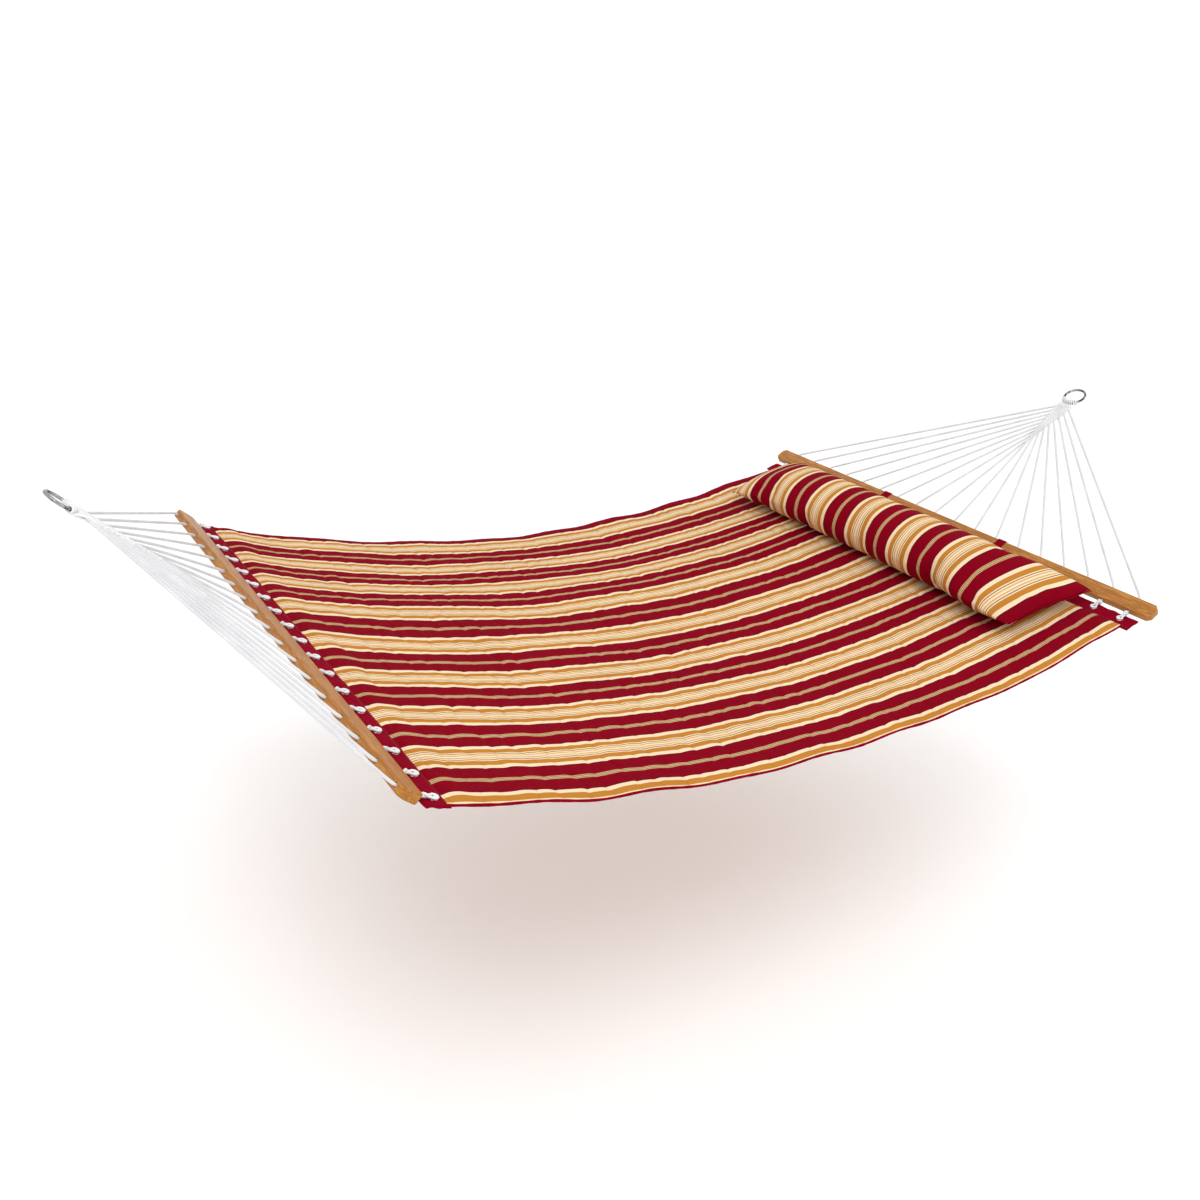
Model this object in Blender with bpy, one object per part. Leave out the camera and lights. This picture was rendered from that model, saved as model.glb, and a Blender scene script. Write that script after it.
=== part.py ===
"""Quilted rope hammock with two wooden spreader bars, a rope harness at each end and a pillow.

Metres, +Z up, +X from the foot end to the head end. The origin is midway between the two
hanging points, where the harness cords turn round the steel rings. The whole hammock swings
sideways about the X axis through the origin, and the pillow flips over the head bar.
"""
import math

import bmesh
import bpy
from mathutils import Vector

# Hanging points and harness
HALF_SPAN = 1.4625
CORD_R = 0.0030
CORDS = 18
CORD_PITCH = 1.32 / 17
CLEW_START = 0.0125
CLEW_TAIL = 0.195
CLEW_HALF_WIDTH = 0.0240
CLEW_HALF_THICK = 0.0058
FIRST_LEG = 0.030

# Steel rings
FOOT_RING_R = 0.0265
HEAD_RING_R = 0.031
RING_WIRE_R = 0.0038
TURNS = 9
TURN_R = 0.0022
TURN_PITCH = 0.0058

# Spreader bars
FOOT_BAR_LENGTH = 1.37
HEAD_BAR_LENGTH = 1.44
BAR_WIDTH = 0.046
BAR_THICK = 0.020
BAR_CORNER = 0.010
BAR_EDGE = 0.0025
FOOT_TILT = math.radians(39)
HEAD_TILT = math.radians(32.5)
BORE_R = 0.0040
FOOT_BAR = Vector((-1.1147, 0.0, -0.2975))
HEAD_BAR = Vector((0.9500, 0.0, -0.3418))

# Bed
BED_HALF_WIDTH = 0.678
BED_SAG = 0.146
BED_DROP = 0.006
FOOT_GAP = 0.0100
HEAD_GAP = 0.0125
HEM_DEPTH = 0.050
FOOT_HEM_HALF_WIDTH = 0.684
HEAD_HEM_HALF_WIDTH = 0.700
HEM_HALF_THICK = 0.0025
FOOT_EYELET = 0.0275
HEAD_EYELET = 0.024
EYELET_R = 0.0050
LAYERS = {"bed_top_fabric": (0.0040, 0.0058), "bed_batting": (-0.0037, 0.0037),
          "bed_bottom_fabric": (-0.0058, -0.0040)}
PIPING_R = 0.0030
GAP = 0.0003

# Pillow
PILLOW_HALF_LENGTH = 0.572
PILLOW_DISTANCE = 0.204
PILLOW_HALF_DEPTH = 0.117
PILLOW_HALF_HEIGHT = 0.075
PILLOW_END_DEPTH = 0.140
PILLOW_END_HEIGHT = 0.0062
PILLOW_END_SHIFT = 0.045
PILLOW_END_DROP = 0.045
COVER_WALL = 0.0015
STRAP_Y = 0.224
STRAP_HALF_WIDTH = 0.014
STRAP_THICK = 0.0015

COLOURS = {
    "rope": ((0.80, 0.78, 0.72), 0.85, 0.0),
    "steel": ((0.62, 0.62, 0.62), 0.25, 1.0),
    "wood": ((0.55, 0.30, 0.12), 0.45, 0.0),
    "striped_fabric": ((0.33, 0.03, 0.05), 0.90, 0.0),
    "red_fabric": ((0.28, 0.005, 0.03), 0.90, 0.0),
    "batting": ((0.85, 0.85, 0.82), 0.95, 0.0),
}


def paint(obj, slot):
    """Give the object a material of its own in the slot's colour."""
    colour, roughness, metallic = COLOURS[slot]
    mat = bpy.data.materials.new(slot + "." + obj.name)
    mat.use_nodes = True
    shader = mat.node_tree.nodes["Principled BSDF"]
    shader.inputs["Base Color"].default_value = (*colour, 1.0)
    shader.inputs["Roughness"].default_value = roughness
    shader.inputs["Metallic"].default_value = metallic
    mat.diffuse_color = (*colour, 1.0)
    obj.data.materials.append(mat)


def add(name, shape, slot, parent=None):
    """Make one closed object from world-space vertices, with its origin on its parent's."""
    verts, faces = shape
    origin = Vector(parent.location) if parent else Vector()
    mesh = bpy.data.meshes.new(name)
    mesh.from_pydata([Vector(v) - origin for v in verts], [], faces)
    bm = bmesh.new()
    bm.from_mesh(mesh)
    bmesh.ops.recalc_face_normals(bm, faces=bm.faces)
    bm.to_mesh(mesh)
    bm.free()
    obj = bpy.data.objects.new(name, mesh)
    bpy.context.scene.collection.objects.link(obj)
    obj.parent = parent
    if slot:
        paint(obj, slot)
    return obj


def empty(name, location):
    obj = bpy.data.objects.new(name, None)
    obj.location = location
    bpy.context.scene.collection.objects.link(obj)
    return obj


def loft(rings, caps=True, closed=False):
    """Skin a list of equal rings of points. closed joins the last ring to the first."""
    count = len(rings[0])
    verts = [p for ring in rings for p in ring]
    faces = []
    spans = len(rings) if closed else len(rings) - 1
    for i in range(spans):
        a = i * count
        b = ((i + 1) % len(rings)) * count
        for j in range(count):
            k = (j + 1) % count
            faces.append((a + j, a + k, b + k, b + j))
    if caps and not closed:
        faces.append(tuple(range(count)))
        faces.append(tuple(range(len(verts) - count, len(verts))))
    return verts, faces


def join(*shapes):
    verts = []
    faces = []
    for more_verts, more_faces in shapes:
        base = len(verts)
        verts.extend(more_verts)
        faces.extend(tuple(base + i for i in face) for face in more_faces)
    return verts, faces


def tube(points, radii, sides=6):
    """A round tube through points, with a radius at each of them."""
    points = [Vector(p) for p in points]
    if not isinstance(radii, (list, tuple)):
        radii = [radii] * len(points)
    legs = [(b - a).normalized() for a, b in zip(points, points[1:])]
    side = legs[0].orthogonal().normalized()
    rings = []
    for i, point in enumerate(points):
        before = legs[max(i - 1, 0)]
        after = legs[min(i, len(legs) - 1)]
        along = (before + after).normalized()
        side = (side - along * side.dot(along)).normalized()
        other = along.cross(side)
        rings.append([point + (side * math.cos(a) + other * math.sin(a)) * radii[i]
                      for a in (2 * math.pi * j / sides for j in range(sides))])
    return loft(rings)


def cut(obj, shape):
    """Subtract a closed shape from an object."""
    cutter = add(obj.name + "_cutter", shape, None, obj.parent)
    cutter.hide_render = True
    cutter.display_type = "WIRE"
    mod = obj.modifiers.new("bores", "BOOLEAN")
    mod.operation = "DIFFERENCE"
    mod.solver = "EXACT"
    mod.object = cutter
    graph = bpy.context.evaluated_depsgraph_get()
    result = bpy.data.meshes.new_from_object(obj.evaluated_get(graph))
    obj.modifiers.clear()
    obj.data = result
    bpy.data.objects.remove(cutter, do_unlink=True)


def cord_y(index):
    return (index - (CORDS - 1) / 2) * CORD_PITCH


class End:
    """The directions and points of one end. inward is +1 at the foot and -1 at the head."""

    def __init__(self, name, inward, bar):
        self.name = name
        self.inward = inward
        self.bar = bar
        self.hang = Vector((-inward * HALF_SPAN, 0.0, 0.0))
        tilt = FOOT_TILT if inward > 0 else HEAD_TILT
        self.bar_in = Vector((inward * math.cos(tilt), 0.0, -math.sin(tilt)))
        self.bar_up = Vector((inward * math.sin(tilt), 0.0, math.cos(tilt)))
        self.along = (bar - self.bar_in * (BAR_WIDTH / 2) - self.hang).normalized()
        self.up = Vector((-self.along.z * inward, 0.0, self.along.x * inward))
        self.ring_r = FOOT_RING_R if inward > 0 else HEAD_RING_R
        self.half_bar = (FOOT_BAR_LENGTH if inward > 0 else HEAD_BAR_LENGTH) / 2
        self.gap = FOOT_GAP if inward > 0 else HEAD_GAP
        self.eyelet = FOOT_EYELET if inward > 0 else HEAD_EYELET
        self.half_hem = FOOT_HEM_HALF_WIDTH if inward > 0 else HEAD_HEM_HALF_WIDTH

    def fan(self, s, y, n=0.0):
        """A point s along the harness from the hanging point, y across and n above it."""
        return self.hang + self.along * s + Vector((0.0, y, 0.0)) + self.up * n

    def at_bar(self, w, y, t=0.0):
        """A point w inward from the bar's middle, y across and t above it."""
        return self.bar + self.bar_in * w + Vector((0.0, y, 0.0)) + self.bar_up * t

    def hem_edge(self):
        return self.at_bar(BAR_WIDTH / 2 + self.gap, 0.0, -BED_DROP)


FOOT = End("foot", 1, FOOT_BAR)
HEAD = End("head", -1, HEAD_BAR)


def bed_curve(steps=600):
    """Points and distances along the middle of the bed from the foot edge to the head edge."""
    start = FOOT.hem_edge()
    end = HEAD.hem_edge()
    points = []
    for i in range(steps + 1):
        t = i / steps
        point = start.lerp(end, t)
        point.z -= BED_SAG * 4 * t * (1 - t)
        points.append(point)
    lengths = [0.0]
    for a, b in zip(points, points[1:]):
        lengths.append(lengths[-1] + (b - a).length)
    return points, lengths


BED_POINTS, BED_LENGTHS = bed_curve()
BED_TOTAL = BED_LENGTHS[-1]


def on_bed(distance, y=0.0, n=0.0):
    """The point at a distance along the bed from its foot edge, y across and n above it."""
    i = 1
    while i < len(BED_LENGTHS) - 1 and BED_LENGTHS[i] < distance:
        i += 1
    a = BED_POINTS[i - 1]
    b = BED_POINTS[i]
    t = (distance - BED_LENGTHS[i - 1]) / (BED_LENGTHS[i] - BED_LENGTHS[i - 1])
    run = (b - a).normalized()
    return a.lerp(b, t) + Vector((0.0, y, 0.0)) + Vector((-run.z, 0.0, run.x)) * n


def eyelet_point(end, y, n=0.0):
    distance = end.eyelet if end.inward > 0 else BED_TOTAL - end.eyelet
    return on_bed(distance, y, n)


def slab(start, stop, steps, low, high, half):
    """A strip of the bed between two distances along it and two heights above its middle."""
    rings = []
    for i in range(steps + 1):
        d = start + (stop - start) * i / steps
        rings.append([on_bed(d, -half, low), on_bed(d, half, low),
                      on_bed(d, half, high), on_bed(d, -half, high)])
    return loft(rings)


def make_ring(end):
    centre = end.fan(-end.ring_r, 0.0)
    rings = []
    for i in range(32):
        a = 2 * math.pi * i / 32
        out = end.along * math.cos(a) + Vector((0.0, math.sin(a), 0.0))
        ring = []
        for j in range(8):
            b = 2 * math.pi * j / 8
            reach = end.ring_r + RING_WIRE_R * math.cos(b)
            ring.append(centre + out * reach + end.up * (RING_WIRE_R * math.sin(b)))
        rings.append(ring)
    add(end.name + "_ring", loft(rings, closed=True), "steel")


def make_turns(end):
    """The cord turns side by side round the ring where the harness hangs from it."""
    centre = end.fan(-end.ring_r, 0.0)
    reach = TURNS * TURN_PITCH / end.ring_r
    lift = RING_WIRE_R + TURN_R + GAP
    per_turn = 8
    points = []
    for i in range(TURNS * per_turn + 1):
        t = i / (TURNS * per_turn)
        a = (t - 0.5) * reach
        b = 2 * math.pi * TURNS * t
        out = end.along * math.cos(a) + Vector((0.0, math.sin(a), 0.0))
        points.append(centre + out * (end.ring_r + lift * math.cos(b)) + end.up * (lift * math.sin(b)))
    add(end.name + "_ring_turns", tube(points, TURN_R, 5), "rope")


def clew_half_width(s):
    """Half the width of the woven clew at a distance from the hanging point."""
    t = max(0.0, s - FIRST_LEG) / (CLEW_TAIL - FIRST_LEG)
    return CLEW_HALF_WIDTH + (0.0035 - CLEW_HALF_WIDTH) * t


def make_clew(end, swing):
    rings = []
    steps = 38
    for i in range(steps + 1):
        s = CLEW_START + (CLEW_TAIL - CLEW_START) * i / steps
        half = clew_half_width(s)
        thick = CLEW_HALF_THICK * (1.0 if i % 2 else 0.88)
        soft = min(0.002, half * 0.4)
        ring = []
        for y, n in ((-half, -0.5), (-half + soft, -1), (half - soft, -1), (half, -0.5),
                     (half, 0.5), (half - soft, 1), (-half + soft, 1), (-half, 0.5)):
            ring.append(end.fan(s, y, n * thick))
        rings.append(ring)
    add(end.name + "_clew", loft(rings), "rope", swing)


def make_bar(end, swing):
    """A flat wooden bar with cut corners, eased edges and a bore for each cord."""
    rings = []
    long, wide = end.half_bar, BAR_WIDTH / 2
    for y, half in ((-long, wide - BAR_CORNER), (-long + BAR_CORNER, wide),
                    (long - BAR_CORNER, wide), (long, wide - BAR_CORNER)):
        e = BAR_EDGE
        t = BAR_THICK / 2
        ring = []
        for w, h in ((-half, -t + e), (-half + e, -t), (half - e, -t), (half, -t + e),
                     (half, t - e), (half - e, t), (-half + e, t), (-half, t - e)):
            ring.append(end.at_bar(w, y, h))
        rings.append(ring)
    bar = add(end.name + "_spreader_bar", loft(rings), "wood", swing)
    bores = [tube([end.at_bar(-BAR_WIDTH, cord_y(i)), end.at_bar(BAR_WIDTH, cord_y(i))], BORE_R, 8)
             for i in range(CORDS)]
    cut(bar, join(*bores))


def leg_start(index):
    """How far down the clew a cord leaves it. The outer cords leave nearest the ring."""
    inner = index if index < CORDS // 2 else CORDS - 1 - index
    return FIRST_LEG + (CLEW_TAIL - FIRST_LEG - 0.004) * inner / (CORDS // 2 - 1)


def make_cord(end, index, swing):
    """One harness cord: from the clew, through the bar and the hem's eyelet, to its stop knot."""
    y = cord_y(index)
    side = math.copysign(1.0, y)
    s = leg_start(index)
    start = end.fan(s, side * (clew_half_width(s) + CORD_R + GAP + 0.0006))
    mouth = end.at_bar(-BAR_WIDTH / 2 - 0.006, y)
    route = [(start, CORD_R), (mouth, CORD_R), (end.at_bar(BAR_WIDTH / 2 + 0.0005, y), CORD_R)]
    if end.inward < 0:
        for w, r in ((0.0022, 0.0042), (0.0052, 0.0056), (0.0082, 0.0042), (0.0100, 0.0030)):
            route.append((end.at_bar(BAR_WIDTH / 2 + w, y), r))
    inward = (eyelet_point(end, y) - end.hem_edge() - Vector((0.0, y, 0.0))).normalized()
    lift = HEM_HALF_THICK + CORD_R + 0.0006
    route.append((eyelet_point(end, y, lift) - inward * 0.0065, CORD_R))
    route.append((eyelet_point(end, y, lift - 0.0012) - inward * 0.0020, CORD_R))
    for n, r in ((HEM_HALF_THICK, 0.0030), (-HEM_HALF_THICK - 0.0006, 0.0030), (-0.0060, 0.0055),
                 (-0.0100, 0.0066), (-0.0140, 0.0050), (-0.0190, 0.0030)):
        route.append((eyelet_point(end, y, n), r))
    points = [p for p, r in route]
    radii = [r for p, r in route]
    add("%s_cord_%02d" % (end.name, index + 1), tube(points, radii), "rope", swing)


def make_hem(end, swing):
    if end.inward > 0:
        start, stop = 0.0, HEM_DEPTH
    else:
        start, stop = BED_TOTAL - HEM_DEPTH, BED_TOTAL
    shape = slab(start, stop, 3, -HEM_HALF_THICK, HEM_HALF_THICK, end.half_hem)
    hem = add(end.name + "_hem", shape, "red_fabric", swing)
    holes = [tube([eyelet_point(end, cord_y(i), -0.02), eyelet_point(end, cord_y(i), 0.02)], EYELET_R, 8)
             for i in range(CORDS)]
    cut(hem, join(*holes))


def make_bed(swing):
    start = HEM_DEPTH + GAP
    stop = BED_TOTAL - HEM_DEPTH - GAP
    for name, (low, high) in LAYERS.items():
        slot = "batting" if name == "bed_batting" else "striped_fabric"
        add(name, slab(start, stop, 24, low, high, BED_HALF_WIDTH), slot, swing)
    for name, side in (("near_piping", -1), ("far_piping", 1)):
        y = side * (BED_HALF_WIDTH + PIPING_R + GAP)
        points = [on_bed(start + (stop - start) * i / 32, y) for i in range(33)]
        add(name, tube(points, PIPING_R, 6), "red_fabric", swing)


def pillow_frame():
    """The pillow's middle, its direction towards the foot and its upward direction."""
    d = BED_TOTAL - PILLOW_DISTANCE
    run = (on_bed(d - 0.06) - on_bed(d + 0.06)).normalized()
    up = Vector((run.z, 0.0, -run.x))
    top = LAYERS["bed_top_fabric"][1]
    middle = on_bed(d, 0.0, top + PILLOW_HALF_HEIGHT + 0.0012)
    return middle, run, up


def pillow_rings(inset, reach):
    """Cross-sections of the pillow out to a reach: round in the middle, low, wide and flat at its ends."""
    middle, run, up = pillow_frame()
    rings = []
    for t in (-1.0, -0.97, -0.90, -0.78, -0.60, -0.35, 0.0, 0.35, 0.60, 0.78, 0.90, 0.97, 1.0):
        y = t * reach
        swell = (1.0 - min(abs(y) / (PILLOW_HALF_LENGTH - inset), 1.0) ** 3.2) ** 0.5
        height = PILLOW_END_HEIGHT + (PILLOW_HALF_HEIGHT - PILLOW_END_HEIGHT) * swell - inset
        depth = PILLOW_END_DEPTH + (PILLOW_HALF_DEPTH - PILLOW_END_DEPTH) * swell - inset
        centre = middle - (run * PILLOW_END_SHIFT + up * PILLOW_END_DROP) * (1.0 - swell)
        centre.y = y
        ring = []
        for j in range(20):
            a = 2 * math.pi * j / 20
            x = math.copysign(abs(math.cos(a)) ** 0.85, math.cos(a)) * depth
            z = math.copysign(abs(math.sin(a)) ** 0.85, math.sin(a)) * height
            ring.append(centre + run * x + up * z)
        rings.append(ring)
    return rings


def make_pillow(flip):
    """A stuffed pillow whose cover is open along its flat far end for the filling."""
    outer = pillow_rings(0.0, PILLOW_HALF_LENGTH)
    inner = pillow_rings(COVER_WALL, PILLOW_HALF_LENGTH - COVER_WALL)
    inner[-1] = [Vector((p.x, outer[-1][0].y, p.z)) for p in inner[-1]]
    add("pillow_cover", loft(outer + inner[::-1]), "striped_fabric", flip)
    filling = pillow_rings(COVER_WALL + 0.0030, PILLOW_HALF_LENGTH * 0.955)
    add("pillow_filling", loft(filling), "batting", flip)


def strap_box(half_w, half_t, y):
    return [HEAD.at_bar(half_w, y, half_t), HEAD.at_bar(-half_w, y, half_t),
            HEAD.at_bar(-half_w, y, -half_t), HEAD.at_bar(half_w, y, -half_t)]


def make_straps(swing, flip):
    """Two straps: a loop round the head bar and a tongue up to the pillow's rear seam."""
    middle, run, up = pillow_frame()
    rear = middle - run * (PILLOW_HALF_DEPTH + 0.0020)
    axis = Vector(flip.location) + Vector(swing.location)
    toward = (rear - axis).normalized()
    for name, y in (("near", -STRAP_Y), ("far", STRAP_Y)):
        half_w = BAR_WIDTH / 2 + GAP
        half_t = BAR_THICK / 2 + GAP
        rings = []
        for edge in (y - STRAP_HALF_WIDTH, y + STRAP_HALF_WIDTH):
            rings.append(strap_box(half_w, half_t, edge))
            rings.append(strap_box(half_w + STRAP_THICK, half_t + STRAP_THICK, edge))
        order = [rings[0], rings[2], rings[3], rings[1]]
        add(name + "_strap_loop", loft(order, closed=True), "red_fabric", swing)
        across = toward.cross(Vector((0.0, 1.0, 0.0))).normalized() * (STRAP_THICK / 2)
        first = axis + toward * 0.0025
        last = rear - toward * 0.0040
        strip = []
        for point in (first, first.lerp(last, 0.5), last):
            strip.append([point + across + Vector((0.0, y - STRAP_HALF_WIDTH, 0.0)),
                          point + across + Vector((0.0, y + STRAP_HALF_WIDTH, 0.0)),
                          point - across + Vector((0.0, y + STRAP_HALF_WIDTH, 0.0)),
                          point - across + Vector((0.0, y - STRAP_HALF_WIDTH, 0.0))])
        add(name + "_strap_tongue", loft(strip), "red_fabric", flip)


def main():
    for obj in list(bpy.data.objects):
        bpy.data.objects.remove(obj, do_unlink=True)
    swing = empty("swing_axis", (0.0, 0.0, 0.0))
    flip = empty("pillow_flip_axis", HEAD.at_bar(BAR_WIDTH / 2 + 0.0030, 0.0, BAR_THICK / 2 + 0.0030))
    for end in (FOOT, HEAD):
        make_ring(end)
        make_turns(end)
        make_clew(end, swing)
        make_bar(end, swing)
        for index in range(CORDS):
            make_cord(end, index, swing)
        make_hem(end, swing)
    make_bed(swing)
    make_pillow(flip)
    make_straps(swing, flip)


main()
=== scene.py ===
"""The visual model of the quilted hammock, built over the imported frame."""

import math

import bmesh
import bpy
import numpy as np
from mathutils import Matrix, Vector


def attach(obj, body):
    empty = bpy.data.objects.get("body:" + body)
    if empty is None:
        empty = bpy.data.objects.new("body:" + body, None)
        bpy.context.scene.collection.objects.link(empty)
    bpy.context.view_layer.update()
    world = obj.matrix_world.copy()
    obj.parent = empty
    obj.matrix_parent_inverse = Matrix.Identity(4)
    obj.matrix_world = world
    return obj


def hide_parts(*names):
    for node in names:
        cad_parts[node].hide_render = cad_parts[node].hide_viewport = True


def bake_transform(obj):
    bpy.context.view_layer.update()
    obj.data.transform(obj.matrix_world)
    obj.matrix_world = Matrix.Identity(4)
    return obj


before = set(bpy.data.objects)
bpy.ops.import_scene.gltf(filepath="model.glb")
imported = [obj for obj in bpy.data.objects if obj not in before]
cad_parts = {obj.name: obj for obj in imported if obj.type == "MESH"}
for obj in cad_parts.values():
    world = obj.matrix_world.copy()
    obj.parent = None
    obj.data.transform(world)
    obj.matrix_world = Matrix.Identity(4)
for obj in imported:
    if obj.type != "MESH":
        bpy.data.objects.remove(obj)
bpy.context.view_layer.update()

# ---------------------------------------------------------------- dimensions, in metres
# Harness and rings
HALF_SPAN = 1.4625
CORDS = 18
CORD_PITCH = 1.32 / 17
CLEW_TAIL = 0.195
FIRST_LEG = 0.030
FOOT_RING_R = 0.0265
HEAD_RING_R = 0.031
RING_WIRE_R = 0.0038
LEG_R = 0.0026
LEG_PITCH = 0.0026
LEG_LAY = 0.012
PICK = 0.0086

# Spreader bars
FOOT_BAR_LENGTH = 1.37
HEAD_BAR_LENGTH = 1.44
BAR_WIDTH = 0.046
BAR_THICK = 0.020
BAR_CORNER = 0.010
FOOT_TILT = math.radians(39)
HEAD_TILT = math.radians(32.5)
FOOT_BAR = np.array([-1.1147, 0.0, -0.2975])
HEAD_BAR = np.array([0.9500, 0.0, -0.3418])
BORE_R = 0.0048

# Bed and hems
BED_HALF_WIDTH = 0.678
BED_SAG = 0.146
BED_DROP = 0.006
FOOT_GAP = 0.0100
HEAD_GAP = 0.0125
HEM_DEPTH = 0.050
FOOT_HEM_HALF_WIDTH = 0.684
HEAD_HEM_HALF_WIDTH = 0.700
FOOT_EYELET = 0.0275
HEAD_EYELET = 0.024
HOLE_R = 0.0060
HEM_SEAMS = (0.0425, 0.0455)

# Long cords and the lacing at the hems. A lay is the length of one turn of the strands
ROPE_R = 0.0030
CORD_LAY = 0.014
LACE_R = 0.0026
LACE_LAY = 0.011

# Repeats of the quilting, the weave, the dashed stitches and the stripes
QUILT_STEP = 0.058
QUILT_WAVE = 0.17
QUILT_SWAY = 0.009
THREAD = 0.0016
TWILL = 0.0034
STITCH = 0.0045
REPEAT = 0.162

# Pillow and its straps. It is cut longer than it ends up, because filling it draws its ends in
STRAP_Y = 0.224
STRAP_WIDTH = 0.027
STRAP_THICK = 0.0018
PILLOW_DISTANCE = 0.204
PILLOW_HALF_DEPTH = 0.117
PILLOW_HALF_HEIGHT = 0.075
PILLOW_END_SHIFT = 0.054
PILLOW_END_DROP = 0.044
PILLOW_LENGTH = 1.100
PILLOW_CUT = 1.126
PILLOW_SLANT = 0.034
PILLOW_WIDTH = 0.300
PILLOW_SHIFT = 0.020

FLOOR_Z = -1.25
ACROSS = np.array([0.0, 1.0, 0.0])
RNG = np.random.default_rng(7)


def unit(v):
    return v / np.linalg.norm(v)


def distances(path):
    """How far along a line of points each of them is."""
    return np.concatenate([[0.0], np.cumsum(np.linalg.norm(np.diff(path, axis=0), axis=1))])


class End:
    """The directions and points of one end. inward is +1 at the foot and -1 at the head."""

    def __init__(self, name, inward, bar):
        self.name = name
        self.inward = inward
        self.bar = bar
        self.hang = np.array([-inward * HALF_SPAN, 0.0, 0.0])
        tilt = FOOT_TILT if inward > 0 else HEAD_TILT
        self.bar_in = np.array([inward * math.cos(tilt), 0.0, -math.sin(tilt)])
        self.bar_up = np.array([inward * math.sin(tilt), 0.0, math.cos(tilt)])
        self.along = unit(bar - self.bar_in * (BAR_WIDTH / 2) - self.hang)
        self.up = np.array([-self.along[2] * inward, 0.0, self.along[0] * inward])
        self.ring_r = FOOT_RING_R if inward > 0 else HEAD_RING_R
        self.half_bar = (FOOT_BAR_LENGTH if inward > 0 else HEAD_BAR_LENGTH) / 2
        self.gap = FOOT_GAP if inward > 0 else HEAD_GAP
        self.eyelet = FOOT_EYELET if inward > 0 else HEAD_EYELET
        self.half_hem = FOOT_HEM_HALF_WIDTH if inward > 0 else HEAD_HEM_HALF_WIDTH

    def fan(self, s, y, n=0.0):
        return self.hang + self.along * s + ACROSS * y + self.up * n

    def at_bar(self, w, y, t=0.0):
        return self.bar + self.bar_in * w + ACROSS * y + self.bar_up * t

    def hem_edge(self):
        return self.at_bar(BAR_WIDTH / 2 + self.gap, 0.0, -BED_DROP)

    def bed_distance(self, from_edge):
        return from_edge if self.inward > 0 else BED_TOTAL - from_edge


FOOT = End("foot", 1, FOOT_BAR)
HEAD = End("head", -1, HEAD_BAR)


def bed_curve(steps=600):
    t = np.linspace(0, 1, steps + 1)[:, None]
    points = FOOT.hem_edge() * (1 - t) + HEAD.hem_edge() * t
    points[:, 2] -= BED_SAG * 4 * t[:, 0] * (1 - t[:, 0])
    return points, distances(points)


BED_POINTS, BED_LENGTHS = bed_curve()
BED_TOTAL = float(BED_LENGTHS[-1])
BED_RUN = np.gradient(BED_POINTS, BED_LENGTHS, axis=0)

# The line that the pillow turns about, just clear of the head bar's upper inner edge
FLIP_LINE = HEAD.at_bar(BAR_WIDTH / 2 + 0.0030, 0.0, BAR_THICK / 2 + 0.0030)


def on_bed(d, y, n):
    """Points at distances d along the bed, y across it and n above its middle surface."""
    d, y, n = np.broadcast_arrays(np.asarray(d, float), y, n)
    x = np.interp(d, BED_LENGTHS, BED_POINTS[:, 0])
    z = np.interp(d, BED_LENGTHS, BED_POINTS[:, 2])
    rx = np.interp(d, BED_LENGTHS, BED_RUN[:, 0])
    rz = np.interp(d, BED_LENGTHS, BED_RUN[:, 2])
    beyond = np.where(d < 0, d, np.where(d > BED_TOTAL, d - BED_TOTAL, 0.0))
    return np.stack([x + rx * beyond - rz * n, y + 0 * d, z + rz * beyond + rx * n], -1)


def cord_y(index):
    return (index - (CORDS - 1) / 2) * CORD_PITCH


# ---------------------------------------------------------------- node materials
def new_material(name, roughness, metallic=0.0):
    mat = bpy.data.materials.new(name)
    mat.use_nodes = True
    shader = mat.node_tree.nodes["Principled BSDF"]
    shader.inputs["Roughness"].default_value = roughness
    shader.inputs["Metallic"].default_value = metallic
    return mat, mat.node_tree, shader


def node(tree, kind, **settings):
    made = tree.nodes.new(kind)
    for key, value in settings.items():
        setattr(made, key, value)
    return made


def link(tree, value, socket):
    """Put a number, a colour or another node's output into a socket."""
    if isinstance(value, bpy.types.NodeSocket):
        tree.links.new(value, socket)
    else:
        socket.default_value = value


def maths(tree, operation, *values):
    made = node(tree, "ShaderNodeMath", operation=operation)
    for i, value in enumerate(values):
        link(tree, value, made.inputs[i])
    return made.outputs[0]


def times(tree, a, b):
    return maths(tree, "MULTIPLY", a, b)


def plus(tree, a, b):
    return maths(tree, "ADD", a, b)


def mix(tree, factor, a, b, blend="MIX"):
    made = node(tree, "ShaderNodeMix", data_type="RGBA", blend_type=blend)
    link(tree, factor, made.inputs["Factor"])
    link(tree, a, made.inputs["A"])
    link(tree, b, made.inputs["B"])
    return made.outputs["Result"]


def noise(tree, vector, scale, detail=3.0, stretch=None, roughness=0.5):
    if stretch:
        mapping = node(tree, "ShaderNodeMapping")
        mapping.inputs["Scale"].default_value = stretch
        tree.links.new(vector, mapping.inputs["Vector"])
        vector = mapping.outputs["Vector"]
    made = node(tree, "ShaderNodeTexNoise")
    made.inputs["Scale"].default_value = scale
    made.inputs["Detail"].default_value = detail
    made.inputs["Roughness"].default_value = roughness
    tree.links.new(vector, made.inputs["Vector"])
    return made.outputs["Fac"]


def ramp(tree, factor, stops, interpolation="LINEAR"):
    made = node(tree, "ShaderNodeValToRGB")
    made.color_ramp.interpolation = interpolation
    elements = made.color_ramp.elements
    while len(elements) > 1:
        elements.remove(elements[-1])
    elements[0].position = stops[0][0]
    elements[0].color = (*stops[0][1], 1.0)
    for position, colour in stops[1:]:
        elements.new(position).color = (*colour, 1.0)
    link(tree, factor, made.inputs["Fac"])
    return made.outputs["Color"]


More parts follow.
